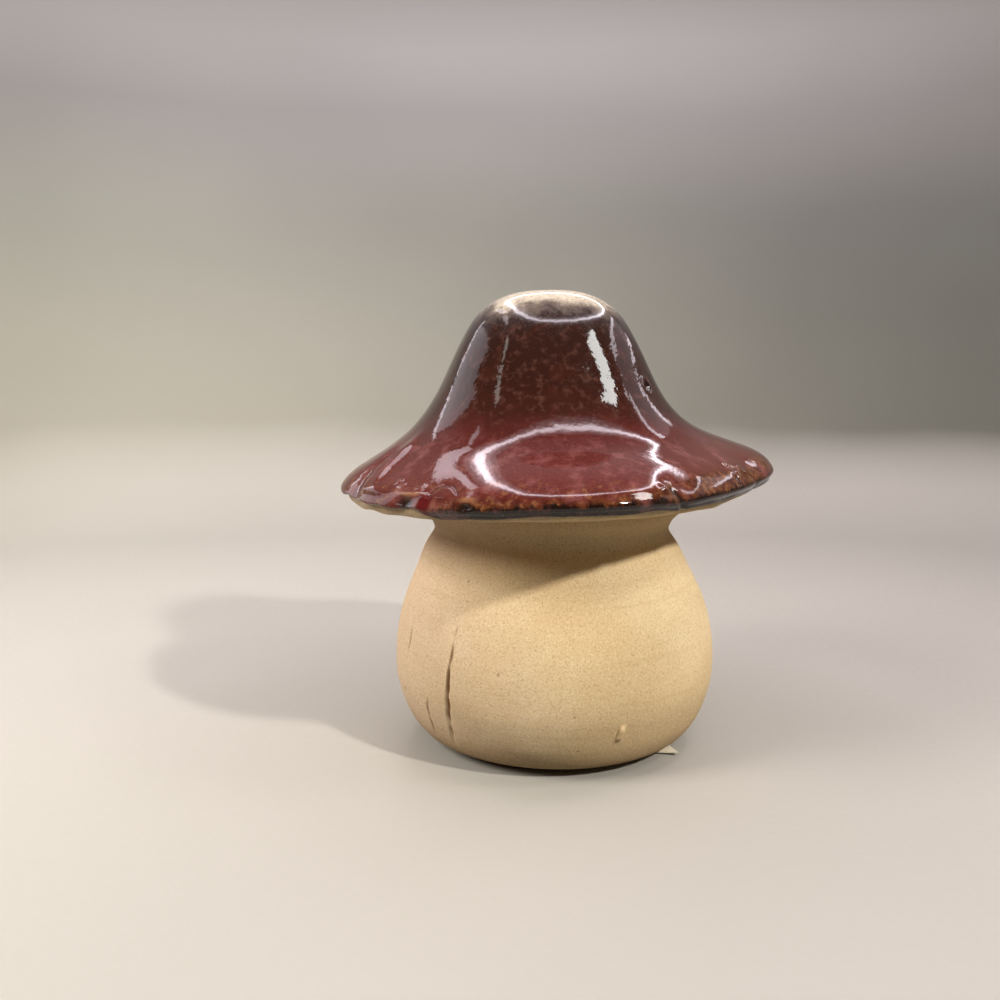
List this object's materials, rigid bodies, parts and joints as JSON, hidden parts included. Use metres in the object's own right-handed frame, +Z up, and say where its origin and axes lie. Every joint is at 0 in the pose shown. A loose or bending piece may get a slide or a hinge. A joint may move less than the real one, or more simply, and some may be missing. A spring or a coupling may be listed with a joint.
{
  "type": "ceramic mushroom ornament",
  "caption": "Two-part stoneware mushroom: a bare round hollow stem under a glazed bell-shaped cap with a folded brim, which lifts off.",
  "frame": {"origin": "middle of the stem's flat base, on the surface it stands on", "axes": "+Z up, -Y towards the side that the picture shows, +X to the right of it"},
  "size_m": [0.1353, 0.1354, 0.1401],
  "materials": {
    "bare_clay": "matt buff stoneware with fine dark specks",
    "glaze": "glossy red-brown glaze, amber at the brim and beige at the top",
    "paper": "matt"
  },
  "bodies": {
    "stem": {"stem_pot": "bare_clay", "base_label": "paper"},
    "cap": {"cap_crown": "bare_clay", "cap_underside": "bare_clay", "cap_collar": "bare_clay", "cap_glaze": "glaze"}
  },
  "joints": [
    {"name": "cap_lift", "type": "slide", "parent": "stem", "child": "cap", "axis": [-0.014, 0, 0.9999], "range_m": [0, 0.08]}
  ]
}
